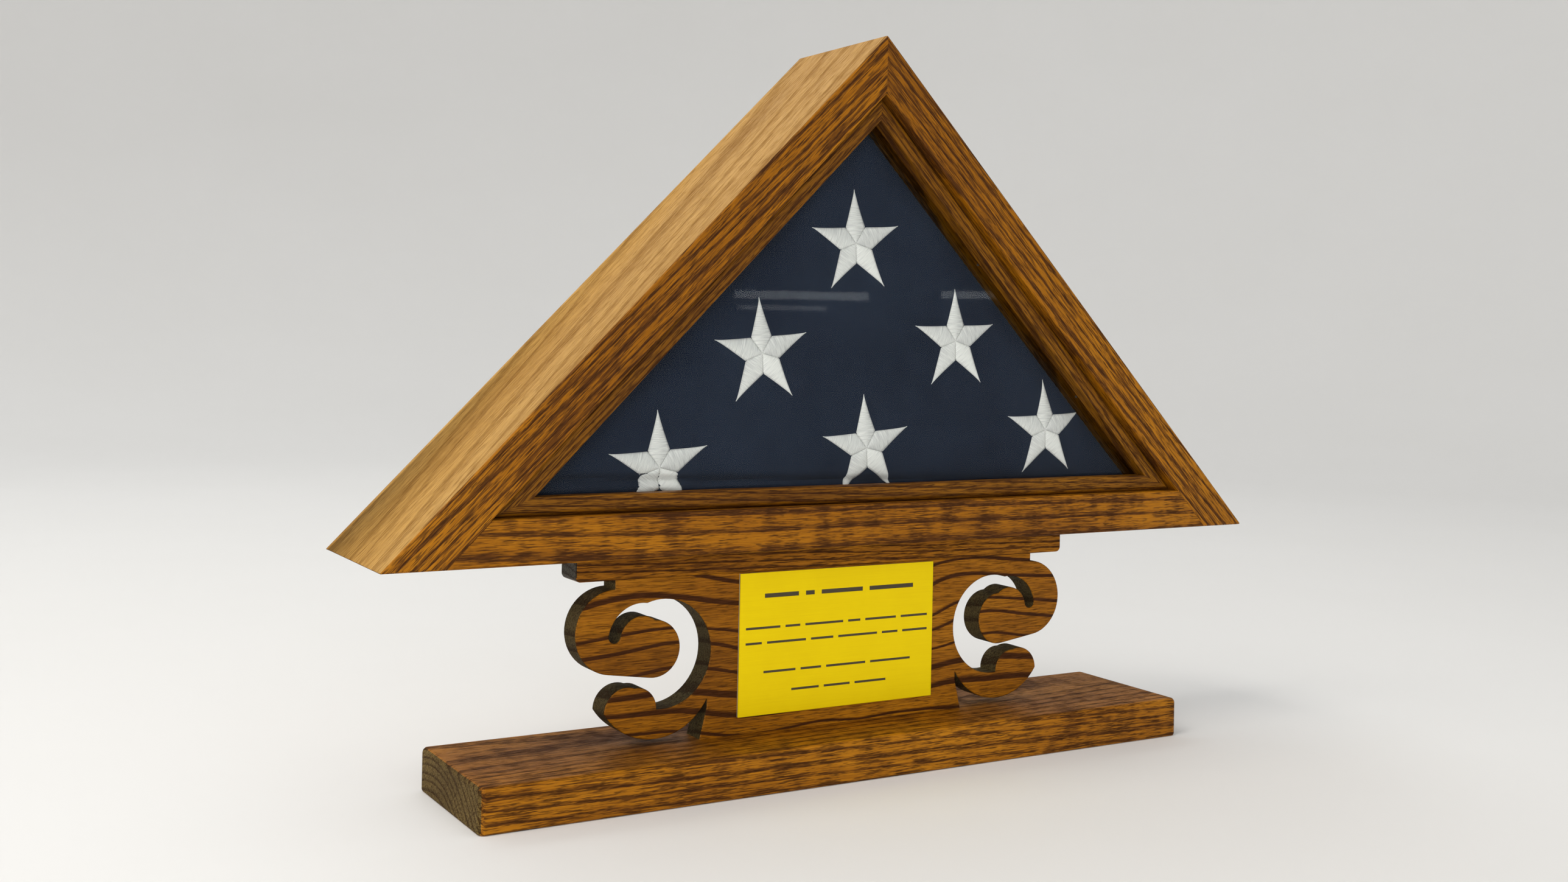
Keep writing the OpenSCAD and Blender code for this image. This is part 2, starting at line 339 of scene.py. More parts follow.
@dataclass(frozen=True)
class OakFinish:
    """Stained, satin-varnished open-grain oak, cut from one plank.

    heart is how far the tree's middle lies from the board across the grain, in Y and Z, and ring the width
    of a year. slant is how much the rings run out along the board, wander how far they sway and sway how
    often in a metre. late is where in a year the dark band ends. bands, streaks and pores are how much the
    years, the dark streaks and the open pores show, and clumps is how much these gather in patches.
    """

    name: str
    grain: Grain = Grain.LEVEL
    cut_from: Place = (0.0, 0.0, 0.0)
    heart: Point = (0.03, -0.09)
    ring: float = 0.0042
    slant: float = 0.03
    wander: float = 0.012
    sway: float = 2.0
    late: float = 0.5
    light: Colour = (0.52, 0.205, 0.006)
    middle: Colour = (0.3, 0.106, 0.002)
    dark: Colour = (0.062, 0.017, 0.001)
    pore: Colour = (0.03, 0.009, 0.001)
    bands: float = 0.25
    streaks: float = 0.76
    pores: float = 0.75
    clumps: float = 0.0
    rough: float = 0.42
    shine: float = 0.14

    def material(self) -> bpy.types.Material:
        """Makes the finish.

        Returns:
            The material.
        """
        sh = Shader(self.name)
        plank = sh.turned(sh.place(), self.cut_from, (0.0, self.grain.value, 0.0))
        x, y, z = sh.split(plank)
        sway = sh.noise(plank, (self.sway, 9.0, 9.0), 2.0) - 0.5
        away_y = y - self.heart[0]
        away_z = z - self.heart[1]
        radius = (away_y * away_y + away_z * away_z) ** 0.5
        radius = radius + sway * self.wander + x * self.slant
        uneven = sh.noise(sh.node("ShaderNodeCombineXYZ", None, {0: radius}), 90.0, 1.0) - 0.5
        year = (radius / self.ring + uneven * 1.6).fraction()
        early = year.rise(0.0, 0.08) * (1.0 - year.rise(0.12, self.late))
        blotch = sh.noise(plank, (6.0, 26.0, 26.0), 3.0) - 0.5
        fibre = sh.noise(plank, (60.0, 1900.0, 1900.0), 2.0, 0.6) - 0.5
        clump = sh.noise(plank, (85.0, 45.0, 45.0), 2.0, 0.6) - 0.5
        gather = early * 0.09 + clump * self.clumps
        streak = (sh.noise(plank, (58.0, 1200.0, 1200.0), 3.0, 0.65) + gather).rise(0.5, 0.6)
        vessel = (sh.noise(plank, (120.0, 2100.0, 2100.0), 2.0, 0.6) + gather).rise(0.52, 0.64)
        tone = 0.55 + blotch * 1.1 + fibre * 0.9 - early * self.bands
        colour = sh.ramp(tone.kept(), ((0.0, self.dark), (0.5, self.middle), (1.0, self.light)))
        colour = sh.mix(colour, self.dark, streak * self.streaks)
        colour = sh.mix(colour, self.pore, vessel * self.pores)
        height = fibre * 0.3 - vessel - streak * 0.5
        return sh.surface(
            Base_Color=colour,
            Roughness=self.rough + vessel * 0.25 + streak * 0.12,
            Specular_IOR_Level=self.shine,
            Normal=sh.bump(height, 0.0002, 0.5),
        )


@dataclass(frozen=True)
class PlyFinish:
    """Clear-sealed plywood: pale rotary-cut faces, and thin plies along the edge."""

    name: str = "sealed_ply"
    light: Colour = (0.56, 0.38, 0.19)
    dark: Colour = (0.33, 0.2, 0.085)
    ply: float = 0.0016

    def material(self) -> bpy.types.Material:
        """Makes the finish.

        Returns:
            The material.
        """
        sh = Shader(self.name)
        at = sh.place()
        y = sh.split(at)[1]
        sway = sh.noise(at, (3.0, 1.0, 9.0), 3.0) * 9.0
        figure = (sh.noise(at, (2.5, 1.0, 26.0), 2.0) * 11.0 + sway).wave() * 0.5 + 0.5
        fibre = sh.noise(at, (40.0, 900.0, 1300.0), 2.0, 0.6)
        layer = (y * (math.pi / self.ply)).wave().rise(-0.2, 0.2)
        tone = (figure * 0.35 + fibre * 0.6 + layer * 0.12).kept()
        return sh.surface(
            Base_Color=sh.mix(self.dark, self.light, tone),
            Roughness=0.55 + fibre * 0.2,
            Normal=sh.bump(fibre, 0.00012, 0.5),
        )


@dataclass(frozen=True)
class MetalFinish:
    """Worked metal: turned, stamped or brushed along one axis.

    brush is the streaks' cells per metre on each axis.
    """

    name: str
    colour: Colour
    dull: Colour
    brush: Place
    rough: float
    scratch: float = 0.00003
    metal: float = 1.0
    shine: float = 0.5

    def material(self) -> bpy.types.Material:
        """Makes the finish.

        Returns:
            The material.
        """
        sh = Shader(self.name)
        at = sh.place()
        line = sh.noise(at, self.brush, 3.0, 0.7)
        cloud = sh.noise(at, 55.0, 3.0)
        return sh.surface(
            Base_Color=sh.mix(self.colour, self.dull, (line * 0.7 + cloud * 0.5 - 0.25).kept()),
            Metallic=self.metal,
            Specular_IOR_Level=self.shine,
            Roughness=self.rough + line * 0.16 + cloud * 0.06,
            Normal=sh.bump(line, self.scratch, 0.6),
        )


@dataclass(frozen=True)
class BuntingFinish:
    """Navy plain-woven flag cloth, with slubby threads in both directions."""

    name: str = "navy_bunting"
    colour: Colour = (0.0035, 0.0085, 0.022)
    worn: Colour = (0.0115, 0.02, 0.04)
    pitch: float = 0.00045

    def material(self) -> bpy.types.Material:
        """Makes the finish.

        Returns:
            The material.
        """
        sh = Shader(self.name)
        cloth = sh.node("ShaderNodeUVMap", {"uv_map": "cloth"})
        u, v, _ = sh.split(cloth)
        turns = 2 * math.pi / self.pitch
        weave = (u * turns).wave() * (v * turns).wave() * 0.5 + 0.5
        warp = sh.noise(cloth, (2600.0, 60.0, 1.0), 2.0)
        weft = sh.noise(cloth, (60.0, 2600.0, 1.0), 2.0)
        thread = warp * 0.5 + weft * 0.5
        cloud = sh.noise(sh.place(), 22.0, 3.0)
        share = (thread * 1.2 + cloud * 1.9 + weave * 0.1 - 1.25).kept()
        return sh.surface(
            Base_Color=sh.mix(self.colour, self.worn, share),
            Roughness=0.82 + thread * 0.12,
            Specular_IOR_Level=0.2,
            Sheen_Weight=0.06,
            Sheen_Roughness=0.4,
            Sheen_Tint=(0.45, 0.52, 0.7),
            Normal=sh.bump(thread, 0.00003, 0.5),
        )


@dataclass(frozen=True)
class SatinStitch:
    """White satin-stitch thread, laid across each arm of a star, with painted sheen and shade from the star's tone
    attribute.
    """

    name: str = "satin_stitch"
    bright: Colour = (0.9, 0.91, 0.88)
    shaded: Colour = (0.42, 0.43, 0.44)
    pitch: float = 0.00048

    def material(self) -> bpy.types.Material:
        """Makes the finish.

        Returns:
            The material.
        """
        sh = Shader(self.name)
        arm = sh.node("ShaderNodeUVMap", {"uv_map": "arm"})
        along, across, _ = sh.split(arm)
        ragged = sh.noise(arm, (1800.0, 90.0, 1.0), 2.0) - 0.5
        thread = (along * (2 * math.pi / self.pitch) + ragged * 2.2).wave() * 0.5 + 0.5
        strand = sh.noise(arm, (5200.0, 160.0, 1.0), 2.0)
        # The tone attribute is painted sheen: it mixes each arm, and each half of it, between the lit and the
        # shaded thread colour.
        tone = sh.node("ShaderNodeAttribute", {"attribute_name": "tone"}, out="Fac")
        share = (tone * 0.8 + thread * 0.2 + (strand - 0.5) * 1.7 + ragged * 0.8).kept()
        return sh.surface(
            Base_Color=sh.mix(self.shaded, self.bright, share),
            Roughness=0.5 + strand * 0.15,
            Sheen_Weight=0.2,
            Sheen_Roughness=0.35,
            Normal=sh.bump(thread + strand * 0.5, 0.00012, 0.7),
        )


@dataclass(frozen=True)
class GlassFinish:
    """Clear picture glass: a mirror at a glancing look, and nearly nothing straight on."""

    name: str = "picture_glass"
    tint: Colour = (0.985, 0.992, 0.99)
    head_on: float = 0.006

    def material(self) -> bpy.types.Material:
        """Makes the finish.

        Returns:
            The material.
        """
        sh = Shader(self.name)
        facing = sh.node("ShaderNodeLayerWeight", None, {"Blend": 0.5}, out="Facing")
        mirror = facing**5.0 * (1.0 - self.head_on) + self.head_on
        clear = sh.node("ShaderNodeBsdfTransparent", None, {"Color": self.tint})
        gloss = sh.node("ShaderNodeBsdfAnisotropic", None, {"Color": (1.0, 1.0, 1.0), "Roughness": 0.02})
        return sh.end(sh.node("ShaderNodeMixShader", None, {0: mirror, 1: clear, 2: gloss}))


@dataclass(frozen=True)
class PlainFinish:
    """A quiet material with a little mottling, such as adhesive, ink or a painted floor."""

    name: str
    colour: Colour
    other: Colour
    rough: float = 0.7
    scale: float = 60.0
    relief: float = 0.00005

    def material(self) -> bpy.types.Material:
        """Makes the finish.

        Returns:
            The material.
        """
        sh = Shader(self.name)
        mottle = sh.noise(sh.place(), self.scale, 4.0, 0.6)
        return sh.surface(
            Base_Color=sh.mix(self.colour, self.other, mottle),
            Roughness=self.rough,
            Normal=sh.bump(mottle, self.relief, 0.5),
        )


# ---------------------------------------------------------------- mesh tools


def slab(outline: Sequence[Point], front: float, back: float) -> bmesh.types.BMesh:
    """An upright board.

    Args:
        outline: its corners in X and Z, in order.
        front: Y of its front face.
        back: Y of its back face.

    Returns:
        The closed board.
    """
    bm = bmesh.new()
    face = bm.faces.new([bm.verts.new((x, front, z)) for x, z in outline])
    push(bm, [face], Vector((0.0, back - front, 0.0)))
    bmesh.ops.recalc_face_normals(bm, faces=bm.faces[:])
    return bm


def push(bm: bmesh.types.BMesh, faces: list[bmesh.types.BMFace], move: Vector) -> list[bmesh.types.BMFace]:
    """Extrudes faces together.

    Args:
        bm: the mesh.
        faces: what is pushed.
        move: how far.

    Returns:
        The pushed faces.
    """
    made = bmesh.ops.extrude_face_region(bm, geom=faces)["geom"]
    verts = [g for g in made if isinstance(g, bmesh.types.BMVert)]
    bmesh.ops.translate(bm, verts=verts, vec=move)
    return [g for g in made if isinstance(g, bmesh.types.BMFace)]


def score(bm: bmesh.types.BMesh, faces: Iterable[bmesh.types.BMFace], at: Vector, across: Vector) -> None:
    """Splits only the given faces along a plane.

    Args:
        bm: the mesh.
        faces: the faces to split.
        at: a point on the plane.
        across: the plane's normal.
    """
    faces = list(faces)
    edges = dict.fromkeys(e for f in faces for e in f.edges)
    verts = dict.fromkeys(v for f in faces for v in f.verts)
    geom = [*faces, *edges, *verts]
    bmesh.ops.bisect_plane(bm, geom=geom, dist=1e-7, plane_co=at, plane_no=across)


def saw(bm: bmesh.types.BMesh, at: Vector, across: Vector) -> None:
    """Cuts off what lies past a plane and closes the cut.

    Args:
        bm: the mesh.
        at: a point on the plane.
        across: the plane's normal, towards what goes.
    """
    geom = [*bm.faces, *bm.edges, *bm.verts]
    made = bmesh.ops.bisect_plane(
        bm, geom=geom, dist=1e-7, plane_co=at, plane_no=across, clear_outer=True
    )
    cut = [g for g in made["geom_cut"] if isinstance(g, bmesh.types.BMEdge)]
    bmesh.ops.edgeloop_fill(bm, edges=cut)


def arrises(
    bm: bmesh.types.BMesh, keep: Callable[[Vector], bool] = lambda at: True, least: float = 0.5
) -> list[bmesh.types.BMEdge]:
    """Sharp edges.

    Args:
        bm: the mesh.
        keep: whether an edge with that middle is wanted; all of them if not given.
        least: the smallest turn of the surface across it, in radians.

    Returns:
        The edges.
    """
    found = []
    for edge in bm.edges:
        if len(edge.link_faces) == 2 and edge.calc_face_angle(0.0) > least:
            if keep((edge.verts[0].co + edge.verts[1].co) / 2):
                found.append(edge)
    return found


def ease(
    bm: bmesh.types.BMesh, edges: list[bmesh.types.BMEdge], width: float, steps: int = 3, clamp: bool = True
) -> None:
    """Rounds edges.

    Args:
        bm: the mesh.
        edges: what is rounded.
        width: how far the rounding reaches on each side.
        steps: facets across it.
        clamp: whether tight spots get a narrower rounding.
    """
    bmesh.ops.bevel(
        bm,
        geom=edges,
        offset=width,
        offset_type="OFFSET",
        segments=steps,
        profile=0.5,
        affect="EDGES",
        clamp_overlap=clamp,
        material=-1,
    )


def whole_faces(bm: bmesh.types.BMesh) -> None:
    """Joins the parts of each flat face."""
    bmesh.ops.dissolve_limit(bm, angle_limit=FLAT, verts=bm.verts[:], edges=bm.edges[:])


def packed_copy(node: str) -> bmesh.types.BMesh:
    """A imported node's mesh, merged, with its flat faces whole.

    Args:
        node: the node's name.

    Returns:
        The copy.
    """
    bm = bmesh.new()
    bm.from_mesh(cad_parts[node].data)
    bmesh.ops.remove_doubles(bm, verts=bm.verts[:], dist=1e-6)
    whole_faces(bm)
    return bm


def arc(centre: Point, radius: float, start: float, end: float, steps: int) -> list[Point]:
    """Points along an arc, angles in degrees."""
    turns = [math.radians(start + (end - start) * i / steps) for i in range(steps + 1)]
    return [(centre[0] + radius * math.cos(t), centre[1] + radius * math.sin(t)) for t in turns]


def unit(number: float) -> float:
    """A number kept from 0 to 1."""
    return min(1.0, max(0.0, number))


def hump(away: float, wide: float) -> float:
    """A smooth hump: 1 where away is 0, and nearly 0 past twice its width."""
    return math.exp(-((away / wide) ** 2))


def linked(name: str, data: bpy.types.ID) -> bpy.types.Object:
    """Makes an object and puts it in the scene.

    Args:
        name: its name.
        data: its mesh, camera or light.

    Returns:
        The object.
    """
    made = bpy.data.objects.new(name, data)
    bpy.context.scene.collection.objects.link(made)
    return made


def solid(bm: bmesh.types.BMesh, name: str) -> bpy.types.Object:
    """Turns a mesh into an object.

    Args:
        bm: the mesh, which is used up.
        name: the object's name.

    Returns:
        The object.
    """
    mesh = bpy.data.meshes.new(name)
    bm.to_mesh(mesh)
    bm.free()
    return linked(name, mesh)


def finished(
    bm: bmesh.types.BMesh,
    name: str,
    materials: Sequence[bpy.types.Material],
    nodes: Sequence[str] = (),
    body: str = CASE,
    choose: Callable[[bmesh.types.BMFace], int] | None = None,
    level: bool = True,
) -> bpy.types.Object:
    """Turns a mesh into a piece that rides on a body.

    Args:
        bm: the mesh, which is used up.
        name: the piece's name.
        materials: its materials.
        nodes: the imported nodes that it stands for.
        body: the body that it rides on.
        choose: which of the materials a face takes.
        level: whether big faces keep their own normals beside small ones.

    Returns:
        The piece.
    """
    for face in bm.faces:
        face.smooth = True
        if choose is not None:
            face.material_index = int(choose(face))
    piece = solid(bm, name)
    piece.data.set_sharp_from_angle(angle=SHARP)
    for material in materials:
        piece.data.materials.append(material)
    if level:
        piece.modifiers.new("level", "WEIGHTED_NORMAL").keep_sharp = True
    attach(piece, body)
    if nodes:
        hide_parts(*nodes)
    LOG.info("%s: %d faces on %s", name, len(piece.data.polygons), body)
    return piece


def dress(node: str, material: bpy.types.Material) -> None:
    """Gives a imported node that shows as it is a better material.

    Args:
        node: the node's name.
        material: its finish.
    """
    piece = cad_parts[node]
    if not piece.material_slots:
        piece.data.materials.append(material)
    for place in piece.material_slots:
        place.material = material
    LOG.info("%s: dressed in %s", node, material.name)


# ---------------------------------------------------------------- the case


class Side(Enum):
    """A side of the case, with its grain."""

    LEFT = Grain.LEFT_SLOPE
    RIGHT = Grain.RIGHT_SLOPE
    BOTTOM = Grain.LEVEL

    def __init__(self, grain: Grain) -> None:
        """Keeps the side's grain."""
        self.grain = grain

    @property
    def word(self) -> str:
        """The side's name in node names."""
        return self.name.lower()

    def inward(self) -> Vector:
        """Which way is into the case.

        Returns:
            The unit vector.
        """
        if self is Side.BOTTOM:
            return Vector((0.0, 0.0, 1.0))
        slope = 1 / ROOT2
        return Vector((slope if self is Side.LEFT else -slope, 0.0, -slope))


@dataclass
class CaseOutline:
    """The case seen from the front: a right angle on top and half of one at both ends of the bottom."""

    half: float = field(init=False)
    base: float = field(init=False)
    top: float = field(init=False)
    front: float = field(init=False)
    back: float = field(init=False)

    def __post_init__(self) -> None:
        """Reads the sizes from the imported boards."""
        low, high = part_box("side_board_left")
        self.half, self.base, self.top = -low.x, low.z, high.z
        self.front, self.back = low.y, high.y

    def corners(self, inset: float) -> list[Point]:
        """Corners at an inset from the outer faces.

        Args:
            inset: how far in.

        Returns:
            X and Z of the left, right and top corners.
        """
        return [
            (-self.half + inset * MITRE, self.base + inset),
            (self.half - inset * MITRE, self.base + inset),
            (0.0, self.top - inset * ROOT2),
        ]

    def middle(self, side: Side) -> Vector:
        """Middle of a side's outer front edge.

        Args:
            side: which side.

        Returns:
            The place.
        """
        if side is Side.BOTTOM:
            return Vector((0.0, self.front, self.base))
        way = -1 if side is Side.LEFT else 1
        return Vector((way * self.half / 2, self.front, self.base + self.half / 2))

    def depth_in(self, side: Side, at: Vector) -> float:
        """How far a point lies inside a side's outer face."""
        return (at - self.middle(side)).dot(side.inward())


@dataclass
class CaseBoards:
    """Three oak boards, rebated at the back, with eased arrises and tight joints."""

    outline: CaseOutline
    rebate: float = 5 * MM
    lip: float = 11 * MM
    eased: float = 1.1 * MM
    joint: float = 0.16 * MM
    thick: float = field(init=False)

    def __post_init__(self) -> None:
        """Reads the boards' thickness from the frame."""
        low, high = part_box("side_board_bottom")
        self.thick = high.z - low.z

    def corners(self, side: Side) -> list[Point]:
        """A board's corners.

        Args:
            side: which board.

        Returns:
            Their X and Z, in order.
        """
        o = self.outline
        slope = self.thick * ROOT2
        end = o.half - slope
        if side is Side.BOTTOM:
            up = o.base + self.thick
            return [(-end, o.base), (end, o.base), (end - self.thick, up), (self.thick - end, up)]
        way = -1 if side is Side.LEFT else 1
        return [(way * o.half, o.base), (0.0, o.top), (0.0, o.top - slope), (way * end, o.base)]

    def at_joint(self, side: Side) -> Callable[[Vector], bool]:
        """A test for the edges of a board that meet another board.

        Args:
            side: which board.

        Returns:
            The test, which takes an edge's middle.
        """
        o = self.outline
        near = 2 * TOUCH

        def meets(at: Vector) -> bool:
            """Whether an edge lies where two boards meet.

            Args:
                at: the edge's middle.

            Returns:
                The answer.
            """
            if side is Side.BOTTOM:
                return any(abs(o.depth_in(s, at) - self.thick) < near for s in (Side.LEFT, Side.RIGHT))
            low = at.z < o.base + self.thick + near
            return abs(at.x) < near or low and abs(o.depth_in(side, at) - self.thick) < near

        return meets

    def build(self, side: Side) -> bmesh.types.BMesh:
        """One board.

        Args:
            side: which board.

        Returns:
            Its mesh.
        """
        o = self.outline
        ledge = o.back - self.rebate
        bm = slab(self.corners(side), o.front, ledge)

        def behind() -> list[bmesh.types.BMFace]:
            """The faces at the rebate's depth."""
            return [f for f in bm.faces if f.normal.y > 0.9 and f.calc_center_median().y > ledge - MM]

        for other in Side:
            score(bm, behind(), o.middle(other) + other.inward() * self.lip, other.inward())
        lip = [f for f in behind() if any(o.depth_in(s, f.calc_center_median()) < self.lip for s in Side)]
        push(bm, lip, Vector((0.0, self.rebate, 0.0)))
        whole_faces(bm)
        if side is not Side.BOTTOM:
            score(bm, bm.faces, Vector((0.0, 0.0, o.base + self.thick)), Vector((0.0, 0.0, 1.0)))
        meets = self.at_joint(side)
        ease(bm, arrises(bm, lambda at: not meets(at)), self.eased)
        ease(bm, arrises(bm, meets), self.joint, 1)
        return bm

    @staticmethod
    def cut_of(side: Side) -> Callable[[bmesh.types.BMFace], int]:
        """A test for the cut that each of a board's faces shows.

        Args:
            side: which board.

        Returns:
            The test: 0 is face grain, 1 end grain and 2 the outer face of a slope, which is painted lighter for
                sheen.
        """
        along, inward = side.grain.direction(), side.inward()

        def cut(face: bmesh.types.BMFace) -> int:
            """Which cut a face shows.

            Args:
                face: the face.

            Returns:
                The cut's number.
            """
            if abs(face.normal.dot(along)) > 0.6:
                return 1
            return 2 if side is not Side.BOTTOM and face.normal.dot(inward) < -0.75 else 0

        return cut

    def make(self) -> None:
        """Builds the three boards in their own cuts of oak, with painted sheen as a lighter oak on the slopes'
        outer faces.
        """
        cuts = {
            Side.LEFT: {"cut_from": (0.31, 0.012, -0.002), "heart": (0.075, -0.05), "slant": 0.045},
            Side.RIGHT: {"cut_from": (0.9, -0.021, 0.004), "heart": (-0.06, -0.07), "slant": -0.04},
            Side.BOTTOM: {"cut_from": (1.7, 0.0, 0.0), "heart": (0.11, 0.02), "slant": 0.012, "clumps": 0.32},
        }
        for side, cut in cuts.items():
            face = OakFinish(f"oak_{side.word}", side.grain, **cut).material()
            end = OakFinish(
                f"oak_{side.word}_end",
                side.grain,
                light=(0.3, 0.15, 0.03),
                middle=(0.17, 0.078, 0.012),
                rough=0.55,
                **cut,
            ).material()
            finishes = [face, end]
            # Painted sheen: the slopes' outer faces take a lighter, less streaky oak that stands in for light
            # glancing off the varnish.
            if side is not Side.BOTTOM:
                outer = OakFinish(
                    f"oak_{side.word}_outer",
                    side.grain,
                    light=(0.56, 0.325, 0.09),
                    middle=(0.43, 0.235, 0.055),
                    dark=(0.25, 0.115, 0.018),
                    pore=(0.16, 0.068, 0.013),
                    bands=0.08,
                    streaks=0.42,
                    pores=0.6,
                    rough=0.5,
                    **cut,
                )
                finishes.append(outer.material())
            finished(
                self.build(side),
                f"oak_board_{side.word}",
                finishes,
                [f"side_board_{side.word}"],
                choose=self.cut_of(side),
            )


@dataclass
class GlassFront:
    """The glass bead on three sides, the pane behind it, and the stops that hold it from behind."""

    outline: CaseOutline
    board: float
    wide: float = 8 * MM
    round: float = 3 * MM
    eased: float = 0.5 * MM
    front: float = field(init=False)
    back: float = field(init=False)

    def __post_init__(self) -> None:
        """Reads the bead's depths from the frame."""
        low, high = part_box("bead_bottom")
        self.front, self.back = low.y, high.y

    def section(self) -> list[Point]:
        """The bead's section.

        Returns:
            Its points: how far in from the board's outer face, and Y.
        """
        near, far = self.board, self.board + self.wide
        shoulder = arc((near + self.round, self.front + self.round), self.round, 180, 270, 8)
        return [*shoulder, (far, self.front), (far, self.back), (near, self.back)]

    def bead(self, side: Side) -> bmesh.types.BMesh:
        """One bead, mitred at both ends.

        Args:
            side: which side it runs along.

        Returns:
            Its mesh.
        """
        o = self.outline
        inward, along = side.inward(), side.grain.direction()
        if side is Side.RIGHT:
            along = -along
        start = o.middle(side) - along * o.half
        bm = bmesh.new()
        ring = []
        for depth, y in self.section():
            at = start + inward * depth
            ring.append(bm.verts.new((at.x, y, at.z)))
        push(bm, [bm.faces.new(ring)], along * (2 * o.half))
        bmesh.ops.recalc_face_normals(bm, faces=bm.faces[:])
        left, right, top = (Vector((x, 0.0, z)) for x, z in o.corners(0.0))
        centre = Vector((0.0, 0.0, o.base + o.half / MITRE))
        for corner in {Side.LEFT: (left, top), Side.RIGHT: (right, top), Side.BOTTOM: (left, right)}[side]:
            line = centre - corner
            across = line.cross(Vector((0.0, 1.0, 0.0)))
            if across.dot(o.middle(side) - corner) > 0:
                across = -across
            saw(bm, corner, across)

        def by_the_glass(at: Vector) -> bool:
            """Whether an edge's middle is on the bead's inner front edge."""
            rim = self.board + self.wide
            return abs(o.depth_in(side, at) - rim) < TOUCH and at.y < self.front + MM

        ease(bm, arrises(bm, by_the_glass), self.eased)
        return bm

    def make(self) -> None:
        """Builds the beads, and dresses the pane, the stops and the brads."""
        for i, side in enumerate(Side):
            cut = {"cut_from": (0.47 * i + 2.2, 0.03, 0.01 * i), "heart": (0.05, -0.03), "ring": 0.003}
            tone = {"light": (0.34, 0.14, 0.006), "middle": (0.2, 0.075, 0.003), "dark": (0.055, 0.016, 0.001)}
            oak = OakFinish(f"bead_{side.word}_oak", side.grain, **cut, **tone).material()
            finished(self.bead(side), f"oak_bead_{side.word}", [oak], [f"bead_{side.word}"])
            inner = OakFinish(f"stop_{side.word}_oak", side.grain, (3.1 + i, 0.01, 0.0), rough=0.6)
            dress(f"glass_stop_{side.word}", inner.material())
        dress("glass_pane", GlassFinish().material())
        wire = MetalFinish("brad_wire", (0.55, 0.56, 0.58), (0.3, 0.31, 0.33), (300.0, 300.0, 300.0), 0.35)
        dress("glass_stop_brads", wire.material())


# ---------------------------------------------------------------- the flag


